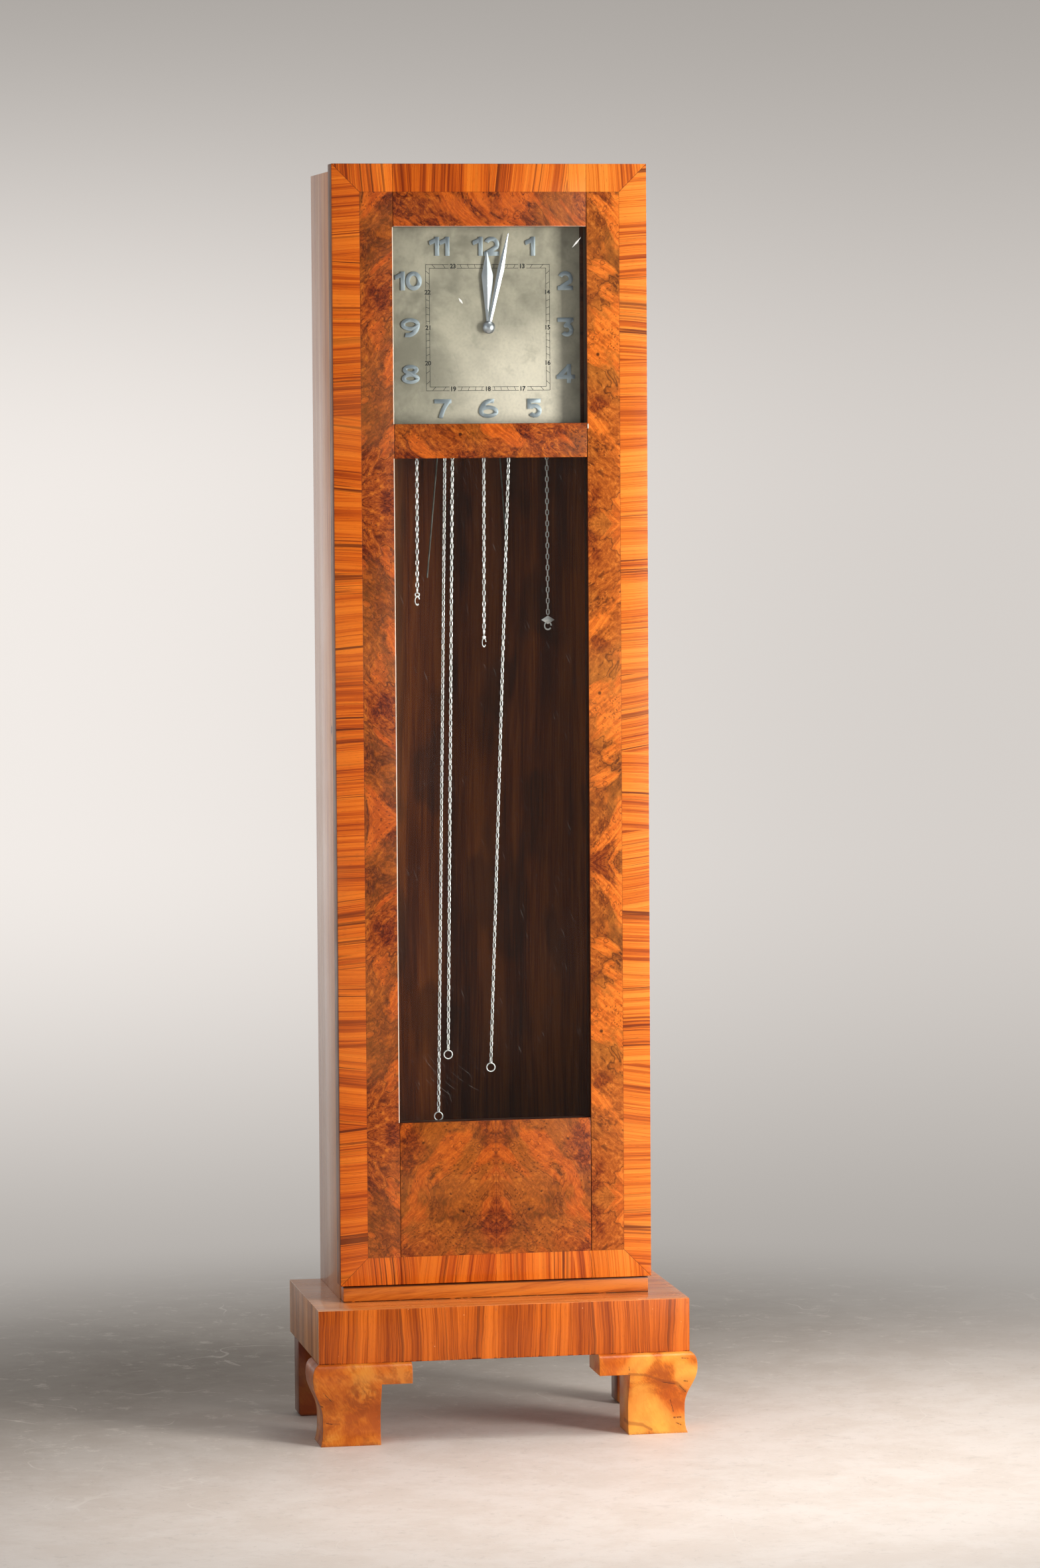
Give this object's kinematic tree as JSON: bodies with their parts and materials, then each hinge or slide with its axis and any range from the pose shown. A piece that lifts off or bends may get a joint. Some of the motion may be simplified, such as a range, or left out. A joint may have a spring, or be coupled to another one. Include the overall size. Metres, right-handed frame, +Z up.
{
  "type": "longcase clock",
  "caption": "Tall floor-standing chain-driven clock with a square dial, raised numerals, a glazed full-height door on a plinth with bracket feet, and hooks for its weights.",
  "frame": {"origin": "on the floor under the middle of the overall footprint", "axes": "+X to the viewer's right, +Y to the back (the dial faces -Y), +Z up"},
  "size_m": [0.58, 0.312, 1.8915],
  "materials": {
    "walnut_veneer": "French-polished walnut veneer, high gloss",
    "plain_wood": "dark stained wood, satin",
    "glass": "clear flat glass",
    "dial_silver": "silvered and lacquered brass, satin",
    "chrome": "polished chrome plate",
    "brass": "machined brass",
    "steel": "drawn steel, dull"
  },
  "bodies": {
    "case": {"foot_front_left": "walnut_veneer", "foot_front_right": "walnut_veneer", "foot_back_left": "plain_wood", "foot_back_right": "plain_wood", "plinth_front": "walnut_veneer", "plinth_side_left": "walnut_veneer", "plinth_side_right": "walnut_veneer", "plinth_back_rail": "plain_wood", "plinth_top": "walnut_veneer", "case_side_left": "walnut_veneer", "case_side_right": "walnut_veneer", "case_top": "walnut_veneer", "case_floor": "plain_wood", "front_rail": "walnut_veneer", "back_board": "plain_wood", "seat_board": "plain_wood", "dial_mask": "plain_wood", "case_hinge_leaves": "brass", "catch_body": "brass", "front_plate": "brass", "back_plate": "brass", "plate_pillars": "brass", "dial_plate": "dial_silver", "dial_numerals": "chrome", "rod_gong": "steel", "pendulum_cock": "steel"},
    "door": {"stile_left": "walnut_veneer", "stile_right": "walnut_veneer", "top_rail": "walnut_veneer", "middle_rail": "walnut_veneer", "bottom_panel": "walnut_veneer", "dial_glass": "glass", "trunk_glass": "glass", "glazing_beads": "plain_wood", "door_hinge_leaves": "brass", "catch_tongue": "brass"},
    "catch_ball": {"catch_ball": "steel"},
    "minute_hand": {"minute_hand": "chrome", "cannon_pinion": "brass", "centre_wheel": "brass"},
    "hour_hand": {"hour_hand": "chrome", "hour_wheel": "brass"},
    "minute_wheel": {"minute_wheel": "brass"},
    "intermediate_wheel": {"intermediate_wheel": "brass"},
    "going_great_wheel": {"going_great_wheel": "brass"},
    "third_wheel": {"third_wheel": "brass"},
    "escape_wheel": {"escape_wheel": "brass"},
    "anchor": {"anchor": "steel"},
    "strike_great_wheel": {"strike_great_wheel": "brass"},
    "chime_great_wheel": {"chime_great_wheel": "brass"},
    "gong_hammers": {"gong_hammers": "brass"},
    "strike_sprocket": {"strike_sprocket": "brass"},
    "strike_hook": {"strike_chain_hook": "steel"},
    "strike_ring": {"strike_chain_ring": "steel"},
    "going_sprocket": {"going_sprocket": "brass"},
    "going_hook": {"going_chain_hook": "steel"},
    "going_ring": {"going_chain_ring": "steel"},
    "chime_sprocket": {"chime_sprocket": "brass"},
    "chime_hook": {"chime_chain_hook": "steel"},
    "chime_ring": {"chime_chain_ring": "steel"}
  },
  "joints": [
    {"name": "door_swing", "type": "hinge", "parent": "case", "child": "door", "pos_m": [0.2394, -0.0425, 0], "axis": [0, 0, 1], "range_deg": [0, 120]},
    {"name": "catch_ball_press", "type": "slide", "parent": "case", "child": "catch_ball", "axis": [-1, 0, 0], "range_m": [0, 0.0012], "stiffness_N_per_m": 800, "springref_m": -0.001},
    {"name": "minute_hand_turn", "type": "hinge", "parent": "case", "child": "minute_hand", "pos_m": [0.0033, 0, 1.6511], "axis": [0, 1, 0], "continuous": true},
    {"name": "hour_hand_turn", "type": "hinge", "parent": "case", "child": "hour_hand", "pos_m": [0.0033, 0, 1.6511], "axis": [0, 1, 0], "continuous": true},
    {"name": "minute_wheel_turn", "type": "hinge", "parent": "case", "child": "minute_wheel", "pos_m": [-0.01028, 0, 1.63752], "axis": [0, 1, 0], "continuous": true},
    {"name": "intermediate_wheel_turn", "type": "hinge", "parent": "case", "child": "intermediate_wheel", "pos_m": [-0.02346, 0, 1.64755], "axis": [0, 1, 0], "continuous": true},
    {"name": "going_great_wheel_turn", "type": "hinge", "parent": "case", "child": "going_great_wheel", "pos_m": [-0.0173, 0, 1.606], "axis": [0, 1, 0], "continuous": true},
    {"name": "third_wheel_turn", "type": "hinge", "parent": "case", "child": "third_wheel", "pos_m": [0.01216, 0, 1.67362], "axis": [0, 1, 0], "continuous": true},
    {"name": "escape_wheel_turn", "type": "hinge", "parent": "case", "child": "escape_wheel", "pos_m": [0.0033, 0, 1.6911], "axis": [0, 1, 0], "continuous": true},
    {"name": "anchor_rock", "type": "hinge", "parent": "case", "child": "anchor", "pos_m": [0.0033, 0, 1.7141], "axis": [0, 1, 0], "range_deg": [-3, 3]},
    {"name": "strike_great_wheel_turn", "type": "hinge", "parent": "case", "child": "strike_great_wheel", "pos_m": [-0.0737, 0, 1.606], "axis": [0, 1, 0], "continuous": true},
    {"name": "chime_great_wheel_turn", "type": "hinge", "parent": "case", "child": "chime_great_wheel", "pos_m": [0.0746, 0, 1.606], "axis": [0, 1, 0], "continuous": true},
    {"name": "gong_hammers_lift", "type": "hinge", "parent": "case", "child": "gong_hammers", "pos_m": [0.03, 0, 1.69], "axis": [0, 1, 0], "range_deg": [0, 12], "stiffness_Nm_per_rad": 0.02, "springref_deg": -5.73},
    {"name": "strike_hook_fall", "type": "slide", "parent": "case", "child": "strike_hook", "axis": [-0.0046, 0, -1], "range_m": [-0.04, 0.14]},
    {"name": "strike_ring_fall", "type": "slide", "parent": "case", "child": "strike_ring", "axis": [-0.0169, 0, -0.9999], "range_m": [-0.14, 0.04]},
    {"name": "strike_sprocket_turn", "type": "hinge", "parent": "case", "child": "strike_sprocket", "pos_m": [-0.0737, 0, 1.606], "axis": [0, 1, 0], "range_deg": [-364, 105]},
    {"name": "going_hook_fall", "type": "slide", "parent": "case", "child": "going_hook", "axis": [-0.0053, 0, -1], "range_m": [-0.04, 0.14]},
    {"name": "going_ring_fall", "type": "slide", "parent": "case", "child": "going_ring", "axis": [-0.0142, 0, -0.9999], "range_m": [-0.14, 0.04]},
    {"name": "going_sprocket_turn", "type": "hinge", "parent": "case", "child": "going_sprocket", "pos_m": [-0.0173, 0, 1.606], "axis": [0, 1, 0], "range_deg": [-100, 347]},
    {"name": "chime_hook_fall", "type": "slide", "parent": "case", "child": "chime_hook", "axis": [0.0015, 0, -1], "range_m": [-0.04, 0.14]},
    {"name": "chime_ring_fall", "type": "slide", "parent": "case", "child": "chime_ring", "axis": [-0.0363, 0, -0.9993], "range_m": [-0.14, 0.04]},
    {"name": "chime_sprocket_turn", "type": "hinge", "parent": "case", "child": "chime_sprocket", "pos_m": [0.0746, 0, 1.606], "axis": [0, 1, 0], "range_deg": [-88, 306]}
  ],
  "couplings": [
    {"joint": "hour_hand_turn", "follows": "minute_hand_turn", "ratio": 0.083333},
    {"joint": "minute_wheel_turn", "follows": "minute_hand_turn", "ratio": -0.33333},
    {"joint": "intermediate_wheel_turn", "follows": "minute_hand_turn", "ratio": -0.25},
    {"joint": "going_great_wheel_turn", "follows": "minute_hand_turn", "ratio": 0.041667},
    {"joint": "third_wheel_turn", "follows": "minute_hand_turn", "ratio": -10},
    {"joint": "escape_wheel_turn", "follows": "minute_hand_turn", "ratio": 60},
    {"joint": "strike_ring_fall", "follows": "strike_hook_fall", "ratio": -1},
    {"joint": "strike_sprocket_turn", "follows": "strike_hook_fall", "rad_per_m": -45.249},
    {"joint": "going_ring_fall", "follows": "going_hook_fall", "ratio": -1},
    {"joint": "going_sprocket_turn", "follows": "going_hook_fall", "rad_per_m": 43.103},
    {"joint": "chime_ring_fall", "follows": "chime_hook_fall", "ratio": -1},
    {"joint": "chime_sprocket_turn", "follows": "chime_hook_fall", "rad_per_m": 38.023}
  ]
}
